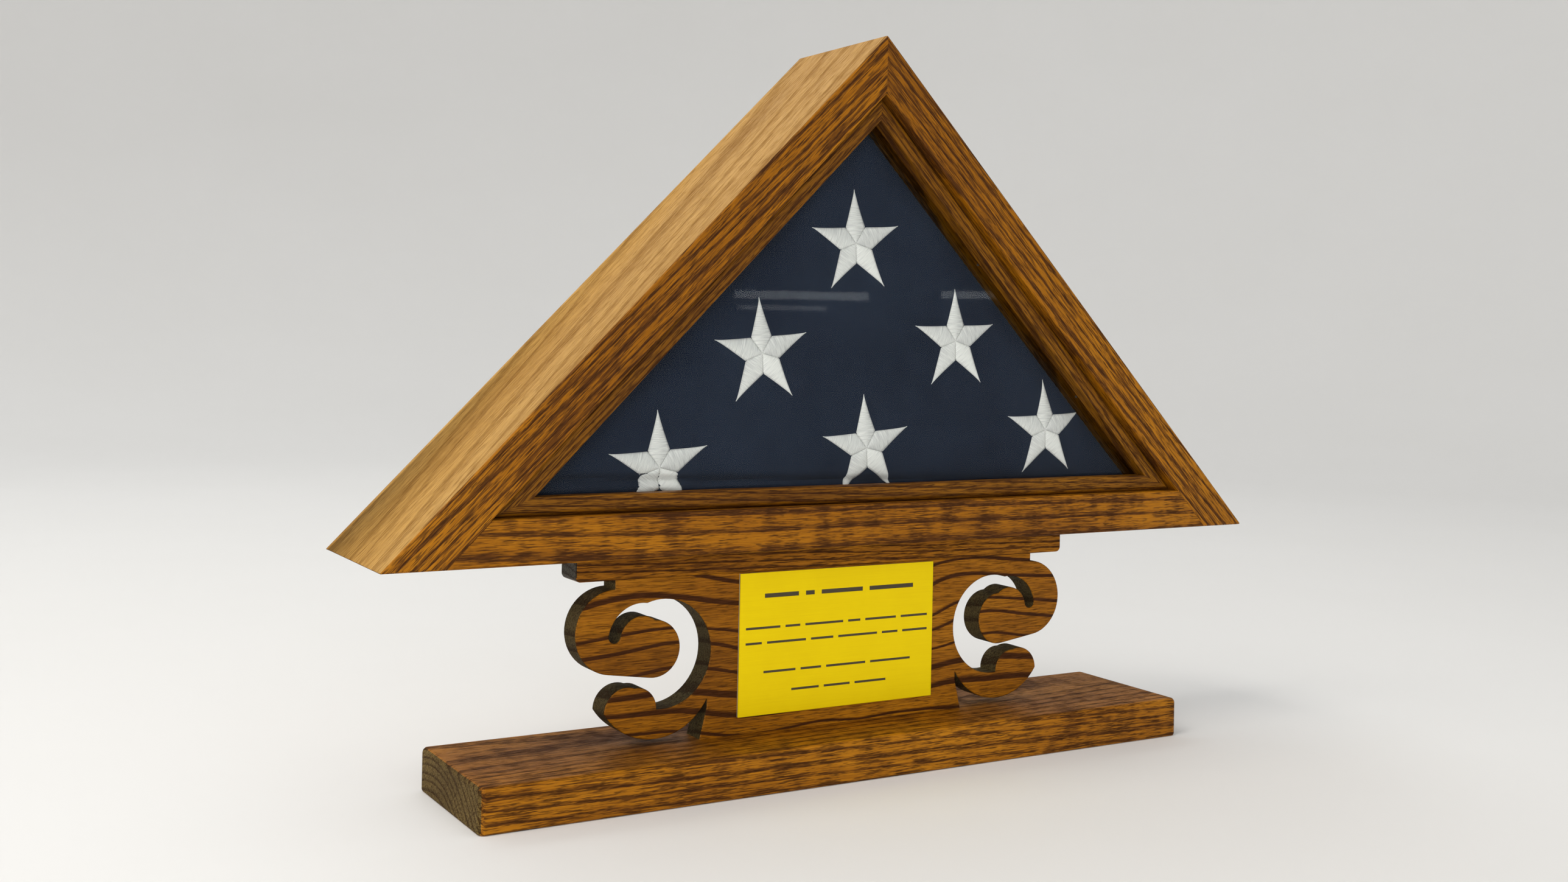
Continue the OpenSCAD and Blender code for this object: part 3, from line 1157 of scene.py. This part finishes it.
@dataclass
class FoldedFlag:
    """A flag folded to a thick triangle of many layers, with six embroidered stars on its front.

    waist is how far a star's notches lie from its middle, as a part of its radius, puff how high its
    stitching stands, and the arms' painted sheen how bright each of its arms is painted, clockwise from the top,
    for light catching its stitches. voxel is the size of the pad's quads, swell the room that it swells into, and
    give how far its cloth may move. crease is how deep the folds between the layers are, and corner how round the
    case's flag space is. The front's loose lower fold runs through fold_at and falls by fold_fall in a metre to the
    right; below it the cloth bulges by fold_bulge, then rolls back by roll_back. The end tucked in behind starts at
    tuck_at.
    """

    stars: tuple[Point, ...] = (
        (-0.005, 0.243),
        (-0.0543, 0.192),
        (0.053, 0.199),
        (-0.1042, 0.1425),
        (0.0028, 0.149),
        (0.1098, 0.156),
    )
    star_radius: float = 24.8 * MM
    tilt: float = math.radians(3.5)
    waist: float = 0.365
    puff: float = 0.8 * MM
    voxel: float = 2.8 * MM
    swell: float = 1.0 * MM
    layers: int = 12
    crease: float = 1.8 * MM
    give: float = 2.2 * MM
    pressure: float = 1.2
    frames: int = 18
    painted_arm_sheen: tuple[float, ...] = (0.7, 0.5, 1.0, 0.72, 0.64)
    corner: float = 5 * MM
    fold_at: Point = (-0.05, 0.1355)
    fold_fall: float = 0.03
    fold_deep: float = 2.6 * MM
    fold_wide: float = 1.5 * MM
    fold_bulge: float = 0.9 * MM
    roll_back: float = 4.5 * MM
    tuck_at: Point = (-0.07, 0.125)
    low: Vector = field(init=False)
    high: Vector = field(init=False)
    apex: float = field(init=False)

    def __post_init__(self) -> None:
        """Reads the flag's space from the frame, and finds where its two slopes would meet."""
        self.low, self.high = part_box("folded_flag")
        self.apex = self.high.z + self.corner * (ROOT2 - 1)

    def depth_in(self, x: float, z: float) -> tuple[float, Vector]:
        """How far a place lies inside the folded edges.

        Args:
            x: place across.
            z: place up.

        Returns:
            The distance to the nearest edge, and the unit vector away from that edge.
        """
        slope = 1 / ROOT2
        sides = [
            (z - self.low.z, Side.BOTTOM.inward()),
            ((self.apex - z + x) * slope, Side.LEFT.inward()),
            ((self.apex - z - x) * slope, Side.RIGHT.inward()),
        ]
        return min(sides, key=lambda s: s[0])

    def blank(self) -> bpy.types.Object:
        """Makes the plain triangular pad.

        Returns:
            The pad, as even quads.
        """
        inset = self.swell
        half = self.apex - self.low.z
        tight = inset * MITRE
        corners = [
            (-half + tight, self.low.z + inset),
            (half - tight, self.low.z + inset),
            (0.0, self.apex - inset * ROOT2),
        ]
        bm = slab(corners, self.low.y + inset, self.high.y - inset)
        upright = [e for e in bm.edges if abs((e.verts[0].co - e.verts[1].co).y) > MM]
        ease(bm, upright, self.corner, 4)
        ease(bm, arrises(bm, lambda at: at.y < 0, 1.2), 1.6 * MM, 2)
        ease(bm, arrises(bm, lambda at: at.y > 0, 1.2), 4 * MM, 3)
        pad = solid(bm, "flag_blank")
        remesh = pad.modifiers.new("even", "REMESH")
        remesh.mode = "VOXEL"
        remesh.voxel_size = self.voxel
        return self.applied(pad)

    @staticmethod
    def applied(piece: bpy.types.Object) -> bpy.types.Object:
        """Makes a piece's modifiers part of its mesh.

        Args:
            piece: the piece.

        Returns:
            The same piece.
        """
        graph = bpy.context.evaluated_depsgraph_get()
        mesh = bpy.data.meshes.new_from_object(piece.evaluated_get(graph), depsgraph=graph)
        piece.modifiers.clear()
        piece.data = mesh
        return piece

    def swollen(self, pad: bpy.types.Object) -> None:
        """Lets the cloth swell between its folds, so that it wrinkles as stuffed cloth does.

        Args:
            pad: the pad.
        """
        count = len(pad.data.vertices)
        rest = np.empty(count * 3, np.float32)
        pad.data.vertices.foreach_get("co", rest)
        rest = rest.reshape(-1, 3)
        held = pad.vertex_groups.new(name="held")
        for i, (x, y, z) in enumerate(rest):
            edge = self.depth_in(float(x), float(z))[0] - self.swell
            fold = abs(math.sin(math.pi * self.layer_of(float(y))))
            held.add([i], 0.9 * max(0.0, 1 - edge / (4 * MM)) * (1 - fold) ** 2, "REPLACE")
        cloth = pad.modifiers.new("swell", "CLOTH")
        how = cloth.settings
        how.quality = 6
        how.mass = 0.15
        how.tension_stiffness = how.compression_stiffness = 18
        how.shear_stiffness = 6
        how.bending_stiffness = 0.25
        how.use_pressure = True
        how.uniform_pressure_force = self.pressure
        how.effector_weights.gravity = 0.0
        how.vertex_group_mass = "held"
        for step in range(self.frames):
            bpy.context.scene.frame_set(step + 1)
        self.applied(pad)
        bpy.context.scene.frame_set(1)
        moved = np.empty(count * 3, np.float32)
        pad.data.vertices.foreach_get("co", moved)
        shift = moved.reshape(-1, 3) - rest
        far = np.maximum(np.linalg.norm(shift, axis=1, keepdims=True), 1e-9)
        shift *= self.give * np.tanh(far / self.give) / far
        pad.data.vertices.foreach_set("co", (rest + shift).ravel())
        LOG.info("flag swelled by %.1f mm at most", float(far.max()) / MM)

    def layer_of(self, y: float) -> float:
        """Which folded layer a depth is in, counted from the front; a whole number is a crease."""
        return (y - self.low.y) / (self.high.y - self.low.y) * self.layers

    def relief(self, x: float, z: float) -> float:
        """How far the front cloth stands proud.

        Args:
            x: place across.
            z: place up.

        Returns:
            The height there, less than 0 in a crease.
        """
        rise = 0.9 * MM * noise.noise(Vector((x * 14, z * 17, 3.7)))
        rise += 0.35 * MM * noise.noise(Vector((x * 46, z * 40, 9.1)))
        above = z - (self.fold_at[1] - self.fold_fall * (x - self.fold_at[0]))
        rise -= self.fold_deep * hump(above, self.fold_wide)
        rise += self.fold_bulge * hump(above + 4.5 * MM, 2.6 * MM)
        rise -= self.roll_back * unit(-(above + 5 * MM) / (12 * MM)) ** 1.3
        for sx, sz in self.stars:
            out = math.hypot(x - sx, z - sz) / self.star_radius
            if out < 1.7:
                turn = math.atan2(z - sz, x - sx) - self.tilt - math.pi / 2
                ring = math.exp(-((out - 0.95) ** 2) / 0.07)
                rise += 0.3 * MM * ring * math.cos(5 * turn) + 0.25 * MM * math.exp(-((out / 0.7) ** 4))
        return rise

    def tuck(self, x: float, z: float) -> float:
        """How far the back cloth stands proud, where the flag's end is tucked in.

        Args:
            x: place across.
            z: place up.

        Returns:
            The height there.
        """
        past = (z - self.tuck_at[1]) * 0.8 - (x - self.tuck_at[0]) * 0.62
        return 1.2 * MM * unit(past / (3 * MM) + 0.5) - 0.8 * MM * hump(past, 2.2 * MM)

    def shaped(self, pad: bpy.types.Object) -> None:
        """Presses the folded edges, the front's soft relief and the tuck behind into the pad.

        Args:
            pad: the pad.
        """
        finer = pad.modifiers.new("finer", "SUBSURF")
        finer.levels = finer.render_levels = 1
        self.applied(pad)
        inner = [v.co.y for v in pad.data.vertices if v.co.y < 0 and self.depth_in(v.co.x, v.co.z)[0] > 14 * MM]
        forward = sorted(inner)[len(inner) // 2] - self.low.y
        LOG.info("flag's front was %.1f mm too deep", forward / MM)
        for vert in pad.data.vertices:
            vert.co.y -= forward * unit(1 - (vert.co.y - self.low.y) / (16 * MM))
            x, y, z = vert.co
            edge, away = self.depth_in(x, z)
            fold = abs(math.sin(math.pi * self.layer_of(y))) ** 0.6
            near = max(0.0, 1 - edge / (6 * MM)) ** 1.5
            ragged = 1 + 0.5 * noise.noise(Vector((x * 20, y * 160, z * 20)))
            behind = unit((y - self.low.y) / (2.4 * MM) - 0.3)
            vert.co += away * (self.crease * (1 - fold) * near * ragged * behind)
            flat = unit((edge - 3 * MM) / (9 * MM))
            flat = flat * flat * (3 - 2 * flat)
            if y < self.low.y + 9 * MM:
                vert.co.y -= self.relief(x, z) * flat
            elif y > self.high.y - 9 * MM:
                vert.co.y += self.tuck(x, z) * flat
            vert.co.y = min(max(vert.co.y, self.low.y - 0.6 * MM), self.high.y + 1.8 * MM)

    def lay_threads(self, pad: bpy.types.Object) -> None:
        """Gives the cloth a UV map in metres, along its threads.

        Args:
            pad: the pad.
        """
        layer = pad.data.uv_layers.new(name="cloth")
        c, s = math.cos(self.tilt), math.sin(self.tilt)
        slope = 1 / ROOT2
        for face in pad.data.polygons:
            n = face.normal
            for corner in face.loop_indices:
                x, y, z = pad.data.vertices[pad.data.loops[corner].vertex_index].co
                if abs(n.y) > 0.6:
                    uv = (x * c + z * s, z * c - x * s)
                elif n.z < -0.6:
                    uv = (x, y)
                else:
                    uv = ((x + z) * slope if n.x < 0 else (x - z) * slope, y)
                layer.data[corner].uv = uv

    def bundle(self) -> bpy.types.Object:
        """Makes the folded flag.

        Returns:
            The piece.
        """
        pad = self.blank()
        self.swollen(pad)
        self.shaped(pad)
        self.lay_threads(pad)
        bm = bmesh.new()
        bm.from_mesh(pad.data)
        bpy.data.objects.remove(pad)
        cloth = BuntingFinish().material()
        flag = finished(bm, "flag_cloth_bundle", [cloth], ["folded_flag"], level=False)
        return flag

    def star(self, bm: bmesh.types.BMesh, at: Point, cloth: BVHTree, turn: float) -> None:
        """Adds one star, its five stitched arms laid on the cloth.

        Args:
            bm: the mesh of all the stars.
            at: the star's middle.
            cloth: the flag's surface.
            turn: the star's own turn, in radians.
        """
        uv = bm.loops.layers.uv["arm"]
        tone = bm.verts.layers.float["tone"]
        bend = self.star_radius * self.waist * math.cos(SPREAD)
        widest = self.star_radius * self.waist * math.sin(SPREAD)
        tip = self.star_radius - bend
        for k, bright in enumerate(self.painted_arm_sheen):
            angle = turn + math.pi / 2 - 2 * k * SPREAD
            ahead = Vector((math.cos(angle), math.sin(angle)))
            aside = Vector((-ahead.y, ahead.x))
            arm = bmesh.ops.create_grid(bm, x_segments=26, y_segments=8, size=1.0)["verts"]
            threads = {}
            for vert in arm:
                out, side = (vert.co.x + 1) / 2, vert.co.y
                along = self.star_radius * out
                part = along / bend if along < bend else max(0.0, (self.star_radius - along) / tip) ** 1.12
                half = max(widest * part, 0.12 * MM)
                flat = Vector(at) + ahead * along + aside * (half * side)
                hit = cloth.ray_cast(Vector((flat.x, self.low.y - 0.02, flat.y)), Vector((0.0, 1.0, 0.0)), 0.04)
                ground = hit[0].y if hit[0] is not None else self.low.y
                full = 0.35 + 0.65 * min(1.0, half / widest * 1.6)
                rise = self.puff * (1 - abs(side) ** 1.7) * full * min(1.0, (1.02 - out) * 6)
                vert.co = (flat.x, ground - rise - 2 * TOUCH, flat.y)
                # Painted sheen: each arm gets its own brightness, and one half of it is painted lighter than the
                # other across the ridge, for light on the stitches.
                vert[tone] = bright + 0.15 * side
                threads[vert] = (along + 0.1 * k, half * side)
            for face in dict.fromkeys(f for v in arm for f in v.link_faces):
                for loop in face.loops:
                    loop[uv].uv = threads[loop.vert]

    def make(self) -> None:
        """Builds the bundle and its stars."""
        flag = self.bundle()
        cloth = BVHTree.FromObject(flag, bpy.context.evaluated_depsgraph_get())
        bm = bmesh.new()
        bm.loops.layers.uv.new("arm")
        bm.verts.layers.float.new("tone")
        for i, at in enumerate(self.stars):
            self.star(bm, at, cloth, self.tilt + 0.03 * math.sin(2.1 * i))
        bmesh.ops.recalc_face_normals(bm, faces=bm.faces[:])
        for face in bm.faces:
            if face.normal.y > 0:
                face.normal_flip()
        stars = finished(bm, "embroidered_stars", [SatinStitch().material()], level=False)
        body = stars.modifiers.new("thread_body", "SOLIDIFY")
        body.thickness = 0.5 * MM
        body.offset = -1.0


# ---------------------------------------------------------------- the back


@dataclass
class BackPanel:
    """A loose plywood board in the rebate, held by four brass turn buttons on steel screws."""

    eased: float = 0.5 * MM
    button_edge: float = 0.3 * MM
    screw_edge: float = 0.2 * MM
    buttons: tuple[str, ...] = (
        "turn_button_left",
        "turn_button_right",
        "turn_button_bottom_left",
        "turn_button_bottom_right",
    )

    def make(self) -> None:
        """Builds the board, its buttons and their screws."""
        panel = packed_copy("back_panel")
        ease(panel, arrises(panel), self.eased, 2)
        finished(panel, "back_board", [PlyFinish().material()], ["back_panel"], "back_panel")
        stamped = MetalFinish("stamped_brass", (0.66, 0.44, 0.13), (0.42, 0.26, 0.075), (500.0, 500.0, 500.0), 0.24)
        brass = stamped.material()
        for name in self.buttons:
            button = packed_copy(name)
            ease(button, arrises(button), self.button_edge, 2)
            finished(button, f"brass_{name}", [brass], [name], name)
        steel = MetalFinish("zinc_plate", (0.62, 0.64, 0.66), (0.42, 0.43, 0.46), (700.0, 700.0, 700.0), 0.27)
        screws = packed_copy("turn_button_screws")
        _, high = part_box("turn_button_screws")
        ease(screws, arrises(screws, lambda at: at.y > high.y - 1.5 * MM), self.screw_edge, 2)
        finished(screws, "steel_button_screws", [steel.material()], ["turn_button_screws"])


# ---------------------------------------------------------------- the pedestal


@dataclass
class Pedestal:
    """A base board, a scroll-sawn upright and a narrow cap under the case."""

    base_edge: float = 2.2 * MM
    scroll_edge: float = 0.7 * MM
    cap_edge: float = 0.8 * MM

    @staticmethod
    def end_grain(face: bmesh.types.BMFace) -> int:
        """1 for a face across the grain, 0 for one along it."""
        return int(abs(face.normal.x) > 0.7)

    def base(self) -> None:
        """Builds the base board, softened along its upper rim, and less along its lower one."""
        low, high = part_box("base_board")
        bm = packed_copy("base_board")
        rim = [e for e in arrises(bm) if all(v.co.z > high.z - NEAR for v in e.verts)]
        ease(bm, rim, self.base_edge, clamp=False)

        def outside(at: Vector) -> bool:
            """Whether an edge's middle is on the lower rim, and not round a screw's hole."""
            far = max(abs(at.x) - high.x, abs(at.y - (low.y + high.y) / 2) - (high.y - low.y) / 2)
            return at.z < low.z + NEAR and far > -4 * MM

        ease(bm, arrises(bm, outside), self.base_edge / 2, 2, clamp=False)
        cut = {"cut_from": (0.2, 0.004, 0.0), "heart": (0.02, -0.045), "ring": 0.0036, "slant": 0.02}
        face = OakFinish("base_oak", Grain.LEVEL, clumps=0.2, bands=0.12, rough=0.5, **cut).material()
        end = OakFinish(
            "base_oak_end",
            Grain.LEVEL,
            light=(0.2, 0.135, 0.04),
            middle=(0.115, 0.074, 0.02),
            dark=(0.035, 0.02, 0.006),
            rough=0.75,
            **cut,
        ).material()
        finished(bm, "oak_base", [face, end], ["base_board"], choose=self.end_grain)

    def scroll(self) -> None:
        """Builds the scroll-sawn upright; its sawn edge is darker and greyer than its faces, partly as end grain
        and partly as painted shade.
        """
        low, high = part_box("scroll_board")
        bm = packed_copy("scroll_board")

        def on_face(at: Vector) -> bool:
            """Whether an edge's middle lies on the front or the back face."""
            return at.y < low.y + TOUCH or at.y > high.y - TOUCH

        def outer(edge: bmesh.types.BMEdge) -> bool:
            """Whether an edge isn't under the cap or on the base."""
            z = [v.co.z for v in edge.verts]
            return not (min(z) > high.z - NEAR or max(z) < low.z + NEAR)

        rim = [e for e in arrises(bm, on_face) if outer(e)]
        ease(bm, rim, self.scroll_edge)
        cut = {"cut_from": (0.5, 0.0, 0.0), "heart": (-0.03, -0.13), "ring": 0.0098, "slant": 0.01}
        face = OakFinish(
            "scroll_oak", Grain.LEVEL, wander=0.045, sway=6.5, late=0.3, bands=1.0, streaks=0.4, pores=0.6, **cut
        ).material()
        # Darker, greyer oak on the sawn edge walls: end grain that takes more stain, together with painted shade
        # for walls turned away from the light.
        sawn = OakFinish(
            "scroll_oak_sawn",
            Grain.LEVEL,
            light=(0.15, 0.105, 0.035),
            middle=(0.08, 0.058, 0.018),
            dark=(0.026, 0.019, 0.007),
            rough=0.75,
            **cut,
        ).material()
        finished(
            bm, "oak_scroll_upright", [face, sawn], ["scroll_board"], choose=lambda f: abs(f.normal.y) < 0.6
        )

    def cap(self) -> None:
        """Builds the cap."""
        bm = packed_copy("pedestal_cap")
        low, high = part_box("pedestal_cap")

        def seen(at: Vector) -> bool:
            """Whether an edge's middle is on the cap's outline."""
            return min(at.y - low.y, high.y - at.y, at.x - low.x, high.x - at.x) < NEAR / 2

        ease(bm, arrises(bm, seen), self.cap_edge)
        cut = {"cut_from": (0.1, 0.01, 0.0), "heart": (0.03, -0.03), "ring": 0.003}
        face = OakFinish("cap_oak", Grain.LEVEL, **cut).material()
        end = OakFinish(
            "cap_oak_end",
            Grain.LEVEL,
            light=(0.075, 0.065, 0.035),
            middle=(0.04, 0.034, 0.018),
            dark=(0.018, 0.015, 0.008),
            **cut,
        ).material()
        finished(bm, "oak_cap", [face, end], ["pedestal_cap"], choose=self.end_grain)

    def make(self) -> None:
        """Builds the three boards and dresses the screws."""
        self.base()
        self.scroll()
        self.cap()
        zinc = MetalFinish("wood_screw_zinc", (0.6, 0.61, 0.6), (0.4, 0.4, 0.38), (700.0, 700.0, 700.0), 0.3)
        screw = zinc.material()
        dress("case_screws", screw)
        dress("base_screws", screw)


@dataclass
class NamePlate:
    """A thin brushed brass plate, stuck on, with plain engraved dashes where a plate has its words.

    Each row is its height on the plate from 0 at the top, the dashes' thickness, and their ends from 0 at
    the left to 1 at the right. cut is how deep the dashes are, and slant how far their walls lean in.
    """

    rows: tuple[tuple[float, float, tuple[Point, ...]], ...] = (
        (0.165, 2.0 * MM, ((0.12, 0.29), (0.325, 0.37), (0.405, 0.62), (0.655, 0.89))),
        (0.389, 1.1 * MM, ((0.03, 0.2), (0.225, 0.3), (0.325, 0.52), (0.545, 0.61), (0.635, 0.8), (0.825, 0.97))),
        (0.495, 1.1 * MM, ((0.03, 0.11), (0.135, 0.33), (0.355, 0.47), (0.495, 0.7), (0.725, 0.81), (0.835, 0.97))),
        (0.70, 1.1 * MM, ((0.12, 0.28), (0.305, 0.41), (0.435, 0.64), (0.665, 0.88))),
        (0.84, 1.1 * MM, ((0.26, 0.4), (0.425, 0.56), (0.585, 0.75))),
    )
    cut: float = 0.15 * MM
    slant: float = 0.03 * MM
    eased: float = 0.2 * MM

    def make(self) -> None:
        """Builds the plate and dresses its adhesive."""
        low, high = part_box("name_plate")
        outline = [(low.x, low.z), (high.x, low.z), (high.x, high.z), (low.x, high.z)]
        bm = slab(outline, low.y, high.y)
        ease(bm, arrises(bm), self.eased, 2)

        def front() -> list[bmesh.types.BMFace]:
            """The plate's front face, in whatever parts it has so far."""
            return [f for f in bm.faces if f.normal.y < -0.99 and f.calc_center_median().y < low.y + NEAR / 2]

        wide, tall = high.x - low.x, high.z - low.z
        for down, thick, dashes in self.rows:
            z = high.z - down * tall
            for edge in (z - thick / 2, z + thick / 2):
                score(bm, front(), Vector((0.0, 0.0, edge)), Vector((0.0, 0.0, 1.0)))
            for x in (low.x + wide * u for dash in dashes for u in dash):
                band = [f for f in front() if abs(f.calc_center_median().z - z) < thick / 2]
                score(bm, band, Vector((x, 0.0, 0.0)), Vector((1.0, 0.0, 0.0)))
            sunk = [
                f
                for f in front()
                if abs(f.calc_center_median().z - z) < thick / 2
                and any(a < (f.calc_center_median().x - low.x) / wide < b for a, b in dashes)
            ]
            bmesh.ops.inset_individual(bm, faces=sunk, thickness=self.slant, depth=-self.cut)
            bm.normal_update()

        def engraved(face: bmesh.types.BMFace) -> bool:
            """Whether a face is the floor of a dash."""
            return face.normal.y < -0.9 and NEAR / 2 < face.calc_center_median().y - low.y < 5 * NEAR

        brass = MetalFinish(
            "brushed_brass",
            colour=(1.0, 0.76, 0.0),
            dull=(0.86, 0.61, 0.0),
            brush=(45.0, 45.0, 3200.0),
            rough=0.36,
            metal=0.3,
            shine=0.15,
        )
        ink = PlainFinish("filled_engraving", (0.035, 0.026, 0.01), (0.07, 0.05, 0.018), 0.55)
        finishes = [brass.material(), ink.material()]
        finished(bm, "brass_name_plate", finishes, ["name_plate"], choose=engraved)
        glue = PlainFinish("clear_adhesive", (0.5, 0.46, 0.36), (0.36, 0.32, 0.24), 0.6)
        dress("plate_adhesive", glue.material())


# ---------------------------------------------------------------- the studio


@dataclass(frozen=True)
class Lamp:
    """A soft rectangular light that the camera doesn't see, in metres and watts."""

    name: str
    at: Place
    size: Point
    power: float
    colour: Colour
    gloss_only: bool = False

    def hang(self, aim: Place) -> None:
        """Hangs the light.

        Args:
            aim: what it points at.
        """
        data = bpy.data.lights.new(self.name, "AREA")
        data.shape = "RECTANGLE"
        data.size, data.size_y = self.size
        data.energy = self.power
        data.color = self.colour
        light = linked(self.name, data)
        light.visible_camera = False
        light.visible_diffuse = not self.gloss_only
        light.location = self.at
        light.rotation_euler = (Vector(aim) - Vector(self.at)).to_track_quat("-Z", "Y").to_euler()


COOL = (0.9, 0.95, 1.0)


@dataclass
class Studio:
    """A pale floor, soft lights and the camera.

    stand is the camera's place. yaw turns it to the right of +Y. flat is the radius of the level floor, and
    cove that of the curve round it. The tubes only make the faint streaks in the glass.
    """

    stand: Place = (-0.41523, -0.62911, 0.20124)
    yaw: float = math.radians(29.42)
    pitch: float = math.radians(0.35)
    roll: float = math.radians(1.17)
    lens: float = 36.4
    shift: Point = (0.0389, -0.0759)
    sky: Colour = (0.9, 0.905, 0.91)
    sky_strength: float = 0.8
    flat: float = 1.7
    cove: float = 1.9
    wall: float = 2.0
    lamps: tuple[Lamp, ...] = (
        Lamp("key", (-1.35, -0.25, 1.75), (1.2, 1.2), 23.0, (1.0, 0.96, 0.9)),
        Lamp("window", (-0.4, 1.5, 1.9), (1.8, 1.0), 8.0, (0.93, 0.97, 1.0)),
        Lamp("fill", (-1.3, -1.9, 0.62), (1.5, 1.0), 19.0, (1.0, 0.98, 0.95)),
    )
    tubes: tuple[Lamp, ...] = (
        Lamp("tube_near", (1.1, -1.83, 0.269), (0.24, 0.014), 0.045, COOL, True),
        Lamp("tube_low", (1.06, -1.83, 0.246), (0.16, 0.008), 0.01, COOL, True),
        Lamp("tube_far", (1.5, -1.83, 0.281), (0.14, 0.014), 0.026, COOL, True),
    )
    glass: Place = (-0.01, 0.0, 0.22)

    def camera(self) -> None:
        """Places the camera."""
        data = bpy.data.cameras.new("camera")
        data.sensor_width = 36.0
        data.lens = self.lens
        data.shift_x, data.shift_y = self.shift
        data.clip_start = 0.02
        camera = linked("camera", data)
        level = math.cos(self.pitch)
        ahead = Vector((math.sin(self.yaw) * level, math.cos(self.yaw) * level, math.sin(self.pitch)))
        right = Vector((math.cos(self.yaw), -math.sin(self.yaw), 0.0))
        up = right.cross(ahead)
        c, s = math.cos(self.roll), math.sin(self.roll)
        across, over = right * c + up * s, up * c - right * s
        turn = Matrix((across, over, -ahead)).transposed().to_4x4()
        camera.matrix_world = Matrix.Translation(self.stand) @ turn
        bpy.context.scene.camera = camera

    def floor(self) -> None:
        """Lays a wide pale floor that curves up far behind the object."""
        bm = bmesh.new()
        bmesh.ops.create_circle(bm, cap_ends=False, segments=96, radius=self.flat)
        rim = bm.edges[:]
        bmesh.ops.contextual_create(bm, geom=rim)
        for out, up in arc((self.flat, self.cove), self.cove, -90, 0, 14)[1:]:
            made = bmesh.ops.extrude_edge_only(bm, edges=rim)["geom"]
            rim = [g for g in made if isinstance(g, bmesh.types.BMEdge)]
            for vert in (g for g in made if isinstance(g, bmesh.types.BMVert)):
                way = Vector((vert.co.x, vert.co.y, 0.0)).normalized()
                vert.co = way * out + Vector((0.0, 0.0, up))
        made = bmesh.ops.extrude_edge_only(bm, edges=rim)["geom"]
        verts = [g for g in made if isinstance(g, bmesh.types.BMVert)]
        bmesh.ops.translate(bm, verts=verts, vec=(0.0, 0.0, self.wall))
        bmesh.ops.recalc_face_normals(bm, faces=bm.faces[:])
        for face in bm.faces:
            face.smooth = True
        floor = solid(bm, "floor")
        pale = PlainFinish("pale_floor", (0.77, 0.765, 0.75), (0.8, 0.795, 0.785), 0.85, 3.0, 0.0)
        floor.data.materials.append(pale.material())
        floor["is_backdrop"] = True

    def make(self) -> None:
        """Sets the camera, the floor, the sky and the lights."""
        self.camera()
        self.floor()
        world = bpy.data.worlds.new("sky")
        world.use_nodes = True
        back = world.node_tree.nodes["Background"]
        back.inputs["Color"].default_value = (*self.sky, 1.0)
        back.inputs["Strength"].default_value = self.sky_strength
        bpy.context.scene.world = world
        bpy.context.scene.view_settings.view_transform = "Standard"
        _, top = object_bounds()
        for lamp in self.lamps:
            lamp.hang((0.0, 0.0, top[2] * 0.5))
        for tube in self.tubes:
            tube.hang(self.glass)


# ---------------------------------------------------------------- all of it


def main() -> None:
    """Builds the scene in order."""
    logging.basicConfig(level=logging.INFO, format="%(name)s: %(message)s")
    Studio().make()
    outline = CaseOutline()
    boards = CaseBoards(outline)
    boards.make()
    GlassFront(outline, boards.thick).make()
    FoldedFlag().make()
    BackPanel().make()
    Pedestal().make()
    NamePlate().make()


if __name__ == "__main__":
    main()
